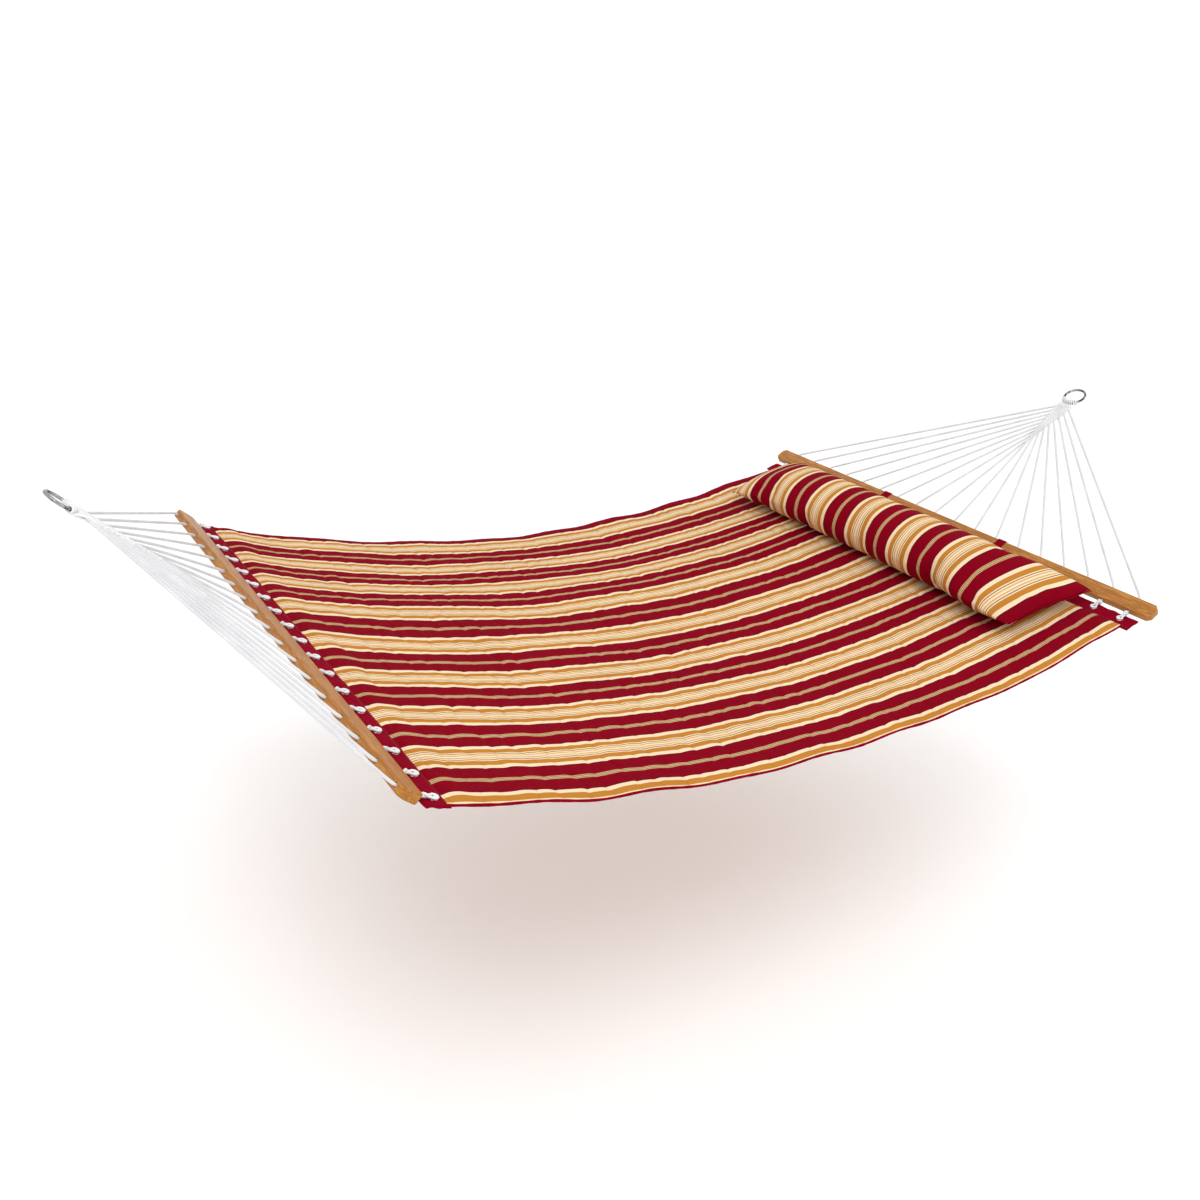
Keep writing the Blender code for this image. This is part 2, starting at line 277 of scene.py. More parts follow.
def scaled(tree, factor, low, high):
    made = node(tree, "ShaderNodeMapRange")
    link(tree, factor, made.inputs["Value"])
    made.inputs["To Min"].default_value = low
    made.inputs["To Max"].default_value = high
    return made.outputs["Result"]


def bump(tree, shader, height, strength, distance):
    made = node(tree, "ShaderNodeBump")
    made.inputs["Strength"].default_value = strength
    made.inputs["Distance"].default_value = distance
    link(tree, height, made.inputs["Height"])
    tree.links.new(made.outputs["Normal"], shader.inputs["Normal"])


def srgb(r, g, b):
    return tuple((c / 255 / 12.92) if c <= 10 else ((c / 255 + 0.055) / 1.055) ** 2.4 for c in (r, g, b))


RED = srgb(128, 0, 23)
GOLD = srgb(186, 124, 48)
CREAM = srgb(236, 211, 177)
KHAKI = srgb(206, 176, 130)
FINE = srgb(236, 206, 160)
OLIVE = srgb(112, 76, 46)
TAN = srgb(192, 150, 98)
DARK = srgb(72, 10, 22)
BLACK = srgb(44, 12, 18)

# Half of one repeat of the woven stripes, as (millimetres, colour), from the middle of a khaki stripe
HALF = [(1.5, KHAKI), (1.7, OLIVE), (2.2, KHAKI), (33.4, RED), (2.0, BLACK), (10.4, CREAM), (13.4, GOLD),
        (3.2, CREAM), (1.9, DARK), (4.3, FINE), (2.5, TAN)]
STRIPES = HALF + [(5.4, CREAM)] + HALF[::-1]


def stripe_stops():
    """The stripes as the stops of a colour ramp."""
    total = sum(width for width, _ in STRIPES)
    stops = []
    at = 0.0
    for width, colour in STRIPES:
        stops.append((at / total, colour))
        at += width
    return stops


def cloth_map(tree):
    """The map of a piece, and its distance along and across."""
    uv = node(tree, "ShaderNodeUVMap", uv_map="cloth").outputs["UV"]
    parts = node(tree, "ShaderNodeSeparateXYZ")
    tree.links.new(uv, parts.inputs[0])
    return uv, parts.outputs["X"], parts.outputs["Y"]


def sine(tree, value, period):
    return maths(tree, "SINE", times(tree, value, 2 * math.pi / period))


def add_stitches(tree, u, v, colour, height):
    """Wavy lines of dashed stitching across the stripes."""
    row = maths(tree, "ROUND", maths(tree, "DIVIDE", u, QUILT_STEP))
    sway = times(tree, maths(tree, "COSINE", times(tree, row, math.pi)),
                 sine(tree, v, QUILT_WAVE))
    line = plus(tree, times(tree, row, QUILT_STEP),
                 times(tree, sway, QUILT_SWAY))
    off = maths(tree, "ABSOLUTE", maths(tree, "SUBTRACT", u, line))
    near = maths(tree, "LESS_THAN", off, 0.0005)
    dash = maths(tree, "GREATER_THAN", sine(tree, v, STITCH), -0.35)
    stitch = times(tree, near, dash)
    colour = mix(tree, times(tree, stitch, 0.45), colour, (*srgb(104, 10, 28), 1.0))
    return colour, maths(tree, "SUBTRACT", height, times(tree, stitch, 1.5))


def fabric(name, striped, phase=0.0, quilted=False):
    """Woven outdoor cloth. The map gives metres along the stripes and across them."""
    mat, tree, shader = new_material(name, 0.88)
    uv, u, v = cloth_map(tree)
    cross = times(tree, sine(tree, u, THREAD), sine(tree, v, THREAD))
    twill = sine(tree, plus(tree, times(tree, u, 0.55), v), TWILL)
    patches = noise(tree, uv, 5.0, 4.0)
    if striped:
        waver = scaled(tree, noise(tree, uv, 9.0, 2.0, (1.0, 3.0, 1.0)), -0.0011, 0.0011)
        across = plus(tree, v, waver)
        at = maths(tree, "FRACT", maths(tree, "DIVIDE", plus(tree, across, phase), REPEAT))
        colour = ramp(tree, at, stripe_stops(), "CONSTANT")
        colour = mix(tree, 1.0, colour, scaled(tree, patches, 0.90, 1.10), "MULTIPLY")
    else:
        colour = ramp(tree, patches, [(0.25, srgb(124, 0, 24)), (0.75, srgb(142, 1, 31))])
    weave = scaled(tree, cross, 0.93, 1.05)
    flecks = scaled(tree, noise(tree, uv, 900.0, 2.0, (0.35, 1.0, 1.0)), 0.90, 1.10)
    colour = mix(tree, 1.0, colour, times(tree, weave, flecks), "MULTIPLY")
    height = plus(tree, times(tree, cross, 0.4), times(tree, twill, 0.2))
    if quilted:
        colour, height = add_stitches(tree, u, v, colour, height)
    link(tree, colour, shader.inputs["Base Color"])
    link(tree, scaled(tree, noise(tree, uv, 60.0, 2.0), 0.82, 0.94), shader.inputs["Roughness"])
    shader.inputs["Specular IOR Level"].default_value = 0.04
    bump(tree, shader, height, 0.35, 0.0005)
    return mat


def rope_material(name, laid):
    """White rope. On a long cord the three strands come from the map. Short pieces have them in the mesh.
    The long cords' copy carries painted shade: it is darker than the same white on the short pieces, and the
    grooves between its strands are darkened.
    """
    mat, tree, shader = new_material(name, 0.80)
    place = node(tree, "ShaderNodeTexCoord").outputs["Object"]
    soft = noise(tree, place, 18.0, 3.0)
    fibres = noise(tree, place, 1400.0, 2.0)
    # Painted shade: the laid copy for the long cords is a darker tone of the same white rope as the short
    # pieces.
    low, high = ((208, 209, 211), (223, 223, 225)) if laid else ((226, 226, 227), (241, 241, 242))
    colour = ramp(tree, soft, [(0.3, srgb(*low)), (0.7, srgb(*high))])
    height = times(tree, fibres, 0.35)
    if laid:
        _, u, v = cloth_map(tree)
        turns = plus(tree, v, maths(tree, "DIVIDE", u, CORD_LAY))
        strand = maths(tree, "ABSOLUTE", maths(tree, "SINE", times(tree, turns, 3 * math.pi)))
        strand = maths(tree, "POWER", strand, 0.6)
        # Painted shade: the grooves between the strands are darkened in the colour, on top of the bump that
        # sinks them.
        colour = mix(tree, 1.0, colour, scaled(tree, strand, 0.80, 1.03), "MULTIPLY")
        height = plus(tree, height, strand)
    colour = mix(tree, 1.0, colour, scaled(tree, fibres, 0.93, 1.03), "MULTIPLY")
    link(tree, colour, shader.inputs["Base Color"])
    shader.inputs["Specular IOR Level"].default_value = 0.2
    bump(tree, shader, height, 0.5, 0.0007)
    return mat


def wood_material(name, seed):
    """Honey-coloured wood with its grain along the bar."""
    mat, tree, shader = new_material(name, 0.42)
    place = node(tree, "ShaderNodeTexCoord").outputs["Object"]
    moved = node(tree, "ShaderNodeMapping")
    moved.inputs["Location"].default_value = (seed, seed * 2.3, 0.0)
    tree.links.new(place, moved.inputs["Vector"])
    place = moved.outputs["Vector"]
    bands = noise(tree, place, 14.0, 4.0, (4.0, 0.35, 4.0), 0.6)
    rings = maths(tree, "SINE", times(tree, bands, 42.0))
    pores = noise(tree, place, 260.0, 3.0, (1.0, 0.045, 1.0), 0.65)
    tint = noise(tree, place, 3.0, 2.0, (1.0, 0.6, 1.0))
    colour = ramp(tree, scaled(tree, rings, 0.0, 1.0),
                  [(0.1, srgb(156, 98, 32)), (0.55, srgb(176, 115, 42)), (0.95, srgb(190, 130, 54))])
    colour = mix(tree, scaled(tree, tint, 0.0, 0.55), colour, (*srgb(168, 103, 28), 1.0))
    colour = mix(tree, 1.0, colour, scaled(tree, pores, 0.80, 1.08), "MULTIPLY")
    link(tree, colour, shader.inputs["Base Color"])
    link(tree, scaled(tree, pores, 0.52, 0.34), shader.inputs["Roughness"])
    shader.inputs["Specular IOR Level"].default_value = 0.3
    shader.inputs["Coat Weight"].default_value = 0.08
    shader.inputs["Coat Roughness"].default_value = 0.25
    bump(tree, shader, pores, 0.3, 0.0006)
    return mat


def metal_material(name, colour, low, high, reflection_and_tarnish_tone):
    """Polished metal with smears and fine scratches. Its colour carries painted reflection: darker smears
    and dark patches stand in for dark surroundings mirrored in it, and are partly tarnish as well.
    """
    mat, tree, shader = new_material(name, low, 1.0)
    place = node(tree, "ShaderNodeTexCoord").outputs["Object"]
    smears_and_reflections = noise(tree, place, 70.0, 4.0)
    reflection_and_tarnish_patches = ramp(tree, noise(tree, place, 55.0, 2.0), [(0.42, (1.0,) * 3), (0.58, (reflection_and_tarnish_tone,) * 3)])
    scratches = noise(tree, place, 500.0, 2.0, (1.0, 0.1, 1.0))
    # Painted reflection: the smear noise and the dark patches darken the colour where the polished metal
    # would mirror dark surroundings.
    base = mix(tree, smears_and_reflections, (*colour, 1.0), tuple(c * 0.82 for c in colour) + (1.0,))
    link(tree, mix(tree, 1.0, base, reflection_and_tarnish_patches, "MULTIPLY"), shader.inputs["Base Color"])
    link(tree, scaled(tree, smears_and_reflections, low, high), shader.inputs["Roughness"])
    bump(tree, shader, scratches, 0.12, 0.0003)
    return mat


ROPE = rope_material("white_rope", False)
LAID_ROPE = rope_material("white_laid_rope", True)
STRIPED_BED = fabric("striped_quilt", True, phase=REPEAT + 0.609, quilted=True)
STRIPED_PILLOW = fabric("striped_cover", True, phase=0.542)
RED_CLOTH = fabric("red_canvas", False)
# The steel's dark base tone and its strong dark patches are painted reflection of dark surroundings. The
# eyelets' milder patches are tarnish and painted reflection.
STEEL = metal_material("plated_steel", (0.38, 0.38, 0.40), 0.08, 0.20, 0.22)
EYELET_METAL = metal_material("eyelet_nickel", (0.66, 0.66, 0.66), 0.22, 0.38, 0.75)


# ---------------------------------------------------------------- mesh tools
def piece(name, verts, faces, material, body, uv=None, corner_uv=None):
    """A mesh object that rides on a body. Its map gives (along, across) for each vertex or face corner."""
    mesh = bpy.data.meshes.new(name)
    mesh.from_pydata(np.asarray(verts, float).tolist(), [], [tuple(map(int, f)) for f in faces])
    if uv is not None:
        layer = mesh.uv_layers.new(name="cloth")
        corner = np.empty(len(mesh.loops), dtype=np.int32)
        mesh.loops.foreach_get("vertex_index", corner)
        layer.data.foreach_set("uv", np.asarray(uv, np.float32)[corner].ravel())
    if corner_uv is not None:
        layer = mesh.uv_layers.new(name="cloth")
        layer.data.foreach_set("uv", np.asarray(corner_uv, np.float32).ravel())
    bm = bmesh.new()
    bm.from_mesh(mesh)
    bmesh.ops.recalc_face_normals(bm, faces=bm.faces)
    bm.to_mesh(mesh)
    bm.free()
    mesh.shade_smooth()
    mesh.materials.append(material)
    obj = bpy.data.objects.new(name, mesh)
    bpy.context.scene.collection.objects.link(obj)
    if body:
        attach(obj, body)
    return obj


def grid_faces(rows, columns, offset=0, flip=False):
    i, j = np.meshgrid(np.arange(rows - 1), np.arange(columns - 1), indexing="ij")
    a = (i * columns + j).ravel() + offset
    quads = np.stack([a, a + 1, a + columns + 1, a + columns], 1)
    return quads[:, ::-1] if flip else quads


def merge(parts):
    """Join shapes, each a pair of points and faces, into one."""
    verts, faces, base = [], [], 0
    for points, sides in parts:
        verts.append(np.asarray(points, float))
        faces.extend([tuple(int(i) + base for i in face) for face in sides])
        base += len(points)
    return np.concatenate(verts), faces


def spline(points, spacing):
    """A smooth line through the points, a centripetal Catmull-Rom curve, sampled evenly."""
    p = np.asarray(points, float)
    keep = np.concatenate([[True], np.linalg.norm(np.diff(p, axis=0), axis=1) > 1e-6])
    p = p[keep]
    ends = np.vstack([2 * p[0] - p[1], p, 2 * p[-1] - p[-2]])
    out = []
    for i in range(1, len(ends) - 2):
        p0, p1, p2, p3 = ends[i - 1:i + 3]
        t0, t1 = 0.0, max(np.linalg.norm(p1 - p0), 1e-6) ** 0.5
        t2 = t1 + max(np.linalg.norm(p2 - p1), 1e-6) ** 0.5
        t3 = t2 + max(np.linalg.norm(p3 - p2), 1e-6) ** 0.5
        count = max(3, int(np.linalg.norm(p2 - p1) / spacing * 1.5))
        t = np.linspace(t1, t2, count, endpoint=False)[:, None]
        a1 = (t1 - t) / (t1 - t0) * p0 + (t - t0) / (t1 - t0) * p1
        a2 = (t2 - t) / (t2 - t1) * p1 + (t - t1) / (t2 - t1) * p2
        a3 = (t3 - t) / (t3 - t2) * p2 + (t - t2) / (t3 - t2) * p3
        b1 = (t2 - t) / (t2 - t0) * a1 + (t - t0) / (t2 - t0) * a2
        b2 = (t3 - t) / (t3 - t1) * a2 + (t - t1) / (t3 - t1) * a3
        out.append((t2 - t) / (t2 - t1) * b1 + (t - t1) / (t2 - t1) * b2)
    out.append(p[-1:])
    return even(np.concatenate(out), spacing)


def even(points, spacing):
    """The same line with evenly spaced points."""
    run = distances(points)
    at = np.linspace(0, run[-1], max(3, int(round(run[-1] / spacing)) + 1))
    return np.stack([np.interp(at, run, points[:, k]) for k in range(3)], 1)


def rounded(points, radius, spacing):
    """A line of straight runs whose corners are rounded."""
    p = [np.asarray(q, float) for q in points]
    out = [p[0]]
    for a, b, c in zip(p, p[1:], p[2:]):
        r = min(radius, np.linalg.norm(b - a) * 0.49, np.linalg.norm(c - b) * 0.49)
        start, stop = b + unit(a - b) * r, b + unit(c - b) * r
        for t in np.linspace(0, 1, 6):
            out.append((1 - t) ** 2 * start + 2 * t * (1 - t) * b + t * t * stop)
    out.append(p[-1])
    return even(np.array(out), spacing)


def frames(path):
    """Two directions square to a line at each point, which don't twist along it."""
    run = np.gradient(path, axis=0)
    run /= np.linalg.norm(run, axis=1)[:, None]
    side = np.cross(run[0], [0.31, 0.22, 0.92])
    if np.linalg.norm(side) < 0.1:
        side = np.cross(run[0], [1.0, 0.0, 0.0])
    sides = []
    for r in run:
        side = side - r * side.dot(r)
        side = side / np.linalg.norm(side)
        sides.append(side)
    sides = np.array(sides)
    return sides, np.cross(run, sides)


def tube(path, radius, sides):
    """A round tube along a line."""
    path = np.asarray(path, float)
    side, other = frames(path)
    radius = np.broadcast_to(radius, len(path))[:, None, None]
    a = np.arange(sides) * 2 * math.pi / sides
    ring = side[:, None] * np.cos(a)[None, :, None] + other[:, None] * np.sin(a)[None, :, None]
    return skin(path[:, None] + ring * radius)


def skin(rings, closed=False):
    """Faces between rings of points, with the ends capped or joined to each other."""
    rows, sides = rings.shape[:2]
    verts = rings.reshape(-1, 3)
    i, j = np.meshgrid(np.arange(rows if closed else rows - 1), np.arange(sides), indexing="ij")
    a, b = i * sides, ((i + 1) % rows) * sides
    faces = np.stack([a + j, a + (j + 1) % sides, b + (j + 1) % sides, b + j], -1).reshape(-1, 4).tolist()
    if not closed:
        faces.append(list(range(sides))[::-1])
        faces.append(list(range(len(verts) - sides, len(verts))))
    return verts, faces


def wrap_uv(path, sides):
    """The map of a tube's faces: metres along it, and turns round it."""
    at = distances(path)
    i, j = np.meshgrid(np.arange(len(path) - 1), np.arange(sides), indexing="ij")
    u = np.stack([at[i], at[i], at[i + 1], at[i + 1]], -1).reshape(-1)
    v = np.stack([j, j + 1, j + 1, j], -1).reshape(-1) / sides
    caps = np.array([[at[0], 0.0]] * sides + [[at[-1], 0.0]] * sides)
    return np.concatenate([np.stack([u, v], 1), caps])


def rope(path, radius, lay, sides=12, turn=0.0):
    """Three laid strands: a lobed section that turns as it goes along the path."""
    path = np.asarray(path, float)
    side, other = frames(path)
    at = distances(path)
    twist = turn + at * 2 * math.pi / lay
    a = np.arange(sides) * 2 * math.pi / sides
    lobes = 0.89 + 0.13 * np.abs(np.cos(a * 1.5)) ** 0.6
    size = np.full(len(path), radius)
    size[0] *= 0.6
    size[-1] *= 0.6
    angle = twist[:, None] + a[None]
    ring = side[:, None] * np.cos(angle)[..., None] + other[:, None] * np.sin(angle)[..., None]
    return skin(path[:, None] + ring * (lobes[None] * size[:, None])[..., None])


def cut(obj, shapes, crossing):
    """Cut closed shapes out of an object. crossing says that the shapes may run into each other."""
    verts, faces = merge(shapes)
    mesh = bpy.data.meshes.new("cutter")
    mesh.from_pydata(verts.tolist(), [], [tuple(f) for f in faces])
    cutter = bpy.data.objects.new("cutter", mesh)
    bpy.context.scene.collection.objects.link(cutter)
    mod = obj.modifiers.new("holes", "BOOLEAN")
    mod.operation = "DIFFERENCE"
    mod.solver = "EXACT"
    mod.use_self = crossing
    mod.object = cutter
    keep_result(obj)
    bpy.data.objects.remove(cutter, do_unlink=True)
    obj.data.shade_smooth()


def keep_result(obj):
    """Apply an object's modifiers to its mesh."""
    graph = bpy.context.evaluated_depsgraph_get()
    result = bpy.data.meshes.new_from_object(obj.evaluated_get(graph))
    obj.modifiers.clear()
    obj.data = result


# ---------------------------------------------------------------- camera, floor and light
def camera():
    """The photograph's view: from the near foot side, looking down along the bed."""
    place = np.array([-1.7460, -2.027, 0.730])
    yaw, pitch, roll = math.radians(35.6), math.radians(24.1), math.radians(5.4)
    ahead = np.array([math.sin(yaw) * math.cos(pitch), math.cos(yaw) * math.cos(pitch), -math.sin(pitch)])
    right = np.array([math.cos(yaw), -math.sin(yaw), 0.0])
    above = np.cross(right, ahead)
    right, above = (math.cos(roll) * right + math.sin(roll) * above,
                    math.cos(roll) * above - math.sin(roll) * right)
    data = bpy.data.cameras.new("camera")
    data.sensor_width = 36.0
    data.lens = 32.97
    data.clip_end = 60.0
    obj = bpy.data.objects.new("camera", data)
    matrix = np.eye(4)
    matrix[:3, 0], matrix[:3, 1], matrix[:3, 2], matrix[:3, 3] = right, above, -ahead, place
    obj.matrix_world = Matrix(matrix.tolist())
    bpy.context.scene.collection.objects.link(obj)
    bpy.context.scene.camera = obj


def area_light(name, place, target, size, power):
    data = bpy.data.lights.new(name, "AREA")
    data.shape = "DISK"
    data.size = size
    data.energy = power
    obj = bpy.data.objects.new(name, data)
    obj.location = place
    obj.rotation_euler = (Vector(target) - Vector(place)).to_track_quat("-Z", "Y").to_euler()
    bpy.context.scene.collection.objects.link(obj)


def studio():
    """A plain pale floor, an even white sky and two soft lamps."""
    mat, _, shader = new_material("floor_paint", 0.95)
    shader.inputs["Base Color"].default_value = (0.985, 0.985, 0.985, 1.0)
    shader.inputs["Specular IOR Level"].default_value = 0.1
    mesh = bpy.data.meshes.new("floor")
    corners = [(x, y, FLOOR_Z) for x, y in ((-40, -40), (40, -40), (40, 40), (-40, 40))]
    mesh.from_pydata(corners, [], [(0, 1, 2, 3)])
    mesh.materials.append(mat)
    floor = bpy.data.objects.new("floor", mesh)
    bpy.context.scene.collection.objects.link(floor)
    world = bpy.data.worlds.new("studio")
    bpy.context.scene.world = world
    world.use_nodes = True
    sky = world.node_tree.nodes["Background"]
    sky.inputs["Color"].default_value = (1.0, 1.0, 1.0, 1.0)
    sky.inputs["Strength"].default_value = 1.03
    area_light("key", (-2.2, -2.4, 4.4), (0.0, 0.0, -0.4), 3.4, 95)
    area_light("fill", (3.0, -3.4, 2.4), (0.2, 0.0, -0.4), 3.0, 25)
    bpy.context.scene.view_settings.view_transform = "Standard"


# ---------------------------------------------------------------- rings and harness
def make_ring(end):
    """A welded ring of round steel wire, with the flattened weld on its outer side."""
    centre = end.fan(-end.ring_r, 0.0)
    a = np.arange(96) * 2 * math.pi / 96
    out = end.along[None] * np.cos(a)[:, None] + ACROSS[None] * np.sin(a)[:, None]
    path = centre + out * end.ring_r
    b = np.arange(16) * 2 * math.pi / 16
    weld = np.exp(-((np.abs(a - 2.45)) / 0.07) ** 2)
    radius = (RING_WIRE_R - 0.0003) * (1 + 0.10 * weld - 0.05 * np.exp(-((np.abs(a - 2.45)) / 0.018) ** 2))
    section = out[:, None] * np.cos(b)[None, :, None] + end.up[None, None] * np.sin(b)[None, :, None]
    verts, faces = skin(path[:, None] + section * radius[:, None, None], closed=True)
    obj = piece(end.name + "_steel_ring", verts, faces, STEEL, "rings")
    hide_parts(end.name + "_ring")


def leg_exit(index):
    """How far down the clew a leg leaves the weave. The outer legs leave nearest the ring."""
    inner = min(index, CORDS - 1 - index)
    return FIRST_LEG + (CLEW_TAIL - FIRST_LEG - 0.004) * inner / (CORDS // 2 - 1)


def leg_y(index):
    return (index - (CORDS - 1) / 2) * LEG_PITCH


def leg_n(index, s):
    """The height of a leg above the clew's middle: over one pick and under the next."""
    calm = min(1.0, max(0.0, (s - 0.022) / 0.012))
    sign = 1.0 if index % 2 == 0 else -1.0
    weave = math.cos(math.pi * (s - FIRST_LEG) / PICK)
    return sign * (0.0029 * (1 - calm) + 0.0026 * calm * weave)


def make_turns(end):
    """Nine loops over the ring. Each one brings two legs of the harness down to the weave."""
    shapes = []
    centre = end.fan(-end.ring_r, 0.0)
    lift = RING_WIRE_R + LEG_R + 0.0001
    for k in range(CORDS // 2):
        y = (leg_y(2 * k) + leg_y(2 * k + 1)) / 2
        a = y * 1.06 / end.ring_r
        out = end.along * math.cos(a) + ACROSS * math.sin(a)
        line = [end.fan(0.034, leg_y(2 * k), leg_n(2 * k, 0.034)), end.fan(0.020, leg_y(2 * k), 0.0031)]
        for b in np.linspace(-0.25, 1.25, 9) * math.pi:
            turn = b - math.pi / 2
            radial = end.ring_r + lift * math.sin(turn + math.pi)
            height = lift * math.cos(turn + math.pi)
            shift = (b / math.pi - 0.5) * LEG_PITCH
            line.append(centre + out * radial + end.up * -height + ACROSS * shift)
        line.append(end.fan(0.020, leg_y(2 * k + 1), -0.0031))
        line.append(end.fan(0.034, leg_y(2 * k + 1), leg_n(2 * k + 1, 0.034)))
        shapes.append(rope(spline(line, 0.0017), LEG_R, LEG_LAY, turn=k * 1.3))
    verts, faces = merge(shapes)
    obj = piece(end.name + "_ring_loops", verts, faces, ROPE, None)
    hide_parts(end.name + "_ring_turns")
    tuple(end.fan(0.007, 0.0))
    tuple(end.fan(0.022, 0.0))
    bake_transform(obj)


def make_clew(end):
    """The woven head of the harness: straight legs with a weft passed back and forth between them."""
    shapes = []
    for index in range(CORDS):
        last = leg_exit(index)
        s = np.arange(0.028, last + 0.0001, 0.0018)
        if len(s) < 3:
            continue  # the outermost legs leave where the weave begins
        path = np.array([end.fan(v, leg_y(index), leg_n(index, v)) for v in s])
        shapes.append(rope(path, LEG_R, LEG_LAY, turn=index * 0.9))
    line = []
    side = 1.0
    picks = int((CLEW_TAIL - FIRST_LEG) / PICK)
    for k in range(picks + 1):
        s = FIRST_LEG + PICK * (k + 0.5)
        inner = (s - FIRST_LEG) / (CLEW_TAIL - FIRST_LEG)
        half = abs(leg_y(0)) * (1 - inner) + 0.0038
        line.append(end.fan(s - PICK * 0.28, -side * half, 0.0012 * side))
        line.append(end.fan(s, -side * (half - 0.0025), 0.0))
        line.append(end.fan(s, side * (half - 0.0025), 0.0))
        line.append(end.fan(s + PICK * 0.28, side * half, 0.0012 * side))
        side = -side
    shapes.append(rope(spline(line, 0.0018), 0.0022, LEG_LAY))
    verts, faces = merge(shapes)
    obj = piece(end.name + "_woven_clew", verts, faces, ROPE, "hammock")
    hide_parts(end.name + "_clew")


def hem_local(end, y, i, side, n):
    """A point near an eyelet: i inward from it, side across and n above the hem's middle."""
    return on_bed(end.bed_distance(end.eyelet + i), y + side, n)


def cord_path(end, index):
    """The line of one harness cord from the weave, through the bar and over the hem to its eyelet."""
    y = cord_y(index)
    s = leg_exit(index)
    start = [end.fan(s - 0.006, leg_y(index), leg_n(index, s - 0.006)), end.fan(s, leg_y(index), 0.0)]
    mouth = end.at_bar(-BAR_WIDTH / 2 - 0.006, y)
    out = end.at_bar(BAR_WIDTH / 2 + 0.003, y)
    over_hem = [hem_local(end, y, i, 0.0, n) for i, n in ((-0.016, 0.0062), (-0.009, 0.0068))]
    return rounded(start + [mouth, out] + over_hem, 0.016, 0.005)


def make_cord(end, index):
    """One long cord of the harness."""
    path = cord_path(end, index)
    verts, faces = tube(path, ROPE_R, 12)
    obj = piece("%s_rope_%02d" % (end.name, index + 1), verts, faces, LAID_ROPE, "hammock",
                corner_uv=wrap_uv(path, 12))
    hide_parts("%s_cord_%02d" % (end.name, index + 1))


def knot(centre, a, b, c, size, radius):
    """A trefoil, the shape of a tight overhand knot, about a centre."""
    t = np.linspace(0, 2 * math.pi, 40)
    p = (np.sin(t) + 2 * np.sin(2 * t), np.cos(t) - 2 * np.cos(2 * t), -1.4 * np.sin(3 * t))
    line = centre + size * (np.outer(p[0], a) + np.outer(p[1], b) + np.outer(p[2], c))
    return rope(line[:-1], radius, LACE_LAY, 10)


def eye_loop(end, y, hand, r):
    """The rope round one eyelet, with its tail wound back along the cord to the bar."""
    line = [hem_local(end, y, -0.012, 0.0, 0.0068), hem_local(end, y, -0.008, hand * r * 0.55, 0.0070)]
    for a in np.arange(-150, 151, 30) * math.pi / 180:
        line.append(hem_local(end, y, r * math.cos(a), -hand * r * math.sin(a), 0.0062))
    line.append(hem_local(end, y, -0.0078, -hand * r * 0.42, 0.0068))
    line.append(hem_local(end, y, -0.0118, -hand * 0.0038, 0.0074))
    for i in np.arange(0.016, end.eyelet + end.gap * 0.7, 0.003):
        a = (i - 0.012) * 2 * math.pi / 0.026
        line.append(hem_local(end, y, -i, -hand * 0.0042 * math.cos(a), 0.0076 + 0.0036 * math.sin(a)))
    return spline(line, 0.0016)


def make_knots(end):
    """The lacing's small parts: the loop at each eyelet, the second ply back to the bar, and the knots."""
    eyes, knots = [], []
    for index in range(CORDS):
        y = cord_y(index)
        hand = 1.0 if index % 2 == 0 else -1.0
        uneven = RNG.uniform(0.85, 1.15)
        r = (0.0068 if end.inward > 0 else 0.0062) * uneven ** 0.5
        eyes.append(rope(eye_loop(end, y, hand, r), LACE_R, LACE_LAY, turn=index))
        fall = ((r * 0.9, 0.0066), (r * 0.35, 0.0062), (0.0, 0.0030), (0.0, -0.0020), (0.0, -0.0060))
        drop = [hem_local(end, y, i, 0.0, n) for i, n in fall]
        eyes.append(rope(spline(drop, 0.0016), LACE_R, LACE_LAY))
        eyelet = hem_local(end, y, 0.0, 0.0, 0.0)
        up = unit(hem_local(end, y, 0.0, 0.0, 0.01) - eyelet)
        inward = unit(hem_local(end, y, 0.01, 0.0, 0.0) - eyelet)
        spin = RNG.uniform(0, math.pi)
        a = inward * math.cos(spin) + ACROSS * math.sin(spin)
        knots.append(knot(hem_local(end, y, 0.0, 0.0, -0.0072), a, np.cross(up, a), up, 0.0013, 0.0021))
        if end.inward < 0:
            at = end.at_bar(BAR_WIDTH / 2 + 0.0082, y, 0.001)
            a = end.bar_up * math.cos(spin) + ACROSS * math.sin(spin)
            knots.append(knot(at, a, np.cross(end.bar_in, a), end.bar_in, 0.0017, 0.0028))
    for name, shapes in (("eye_loops", eyes), ("stop_knots", knots)):
        verts, faces = merge(shapes)
        piece("%s_%s" % (end.name, name), verts, faces, ROPE, "hammock")


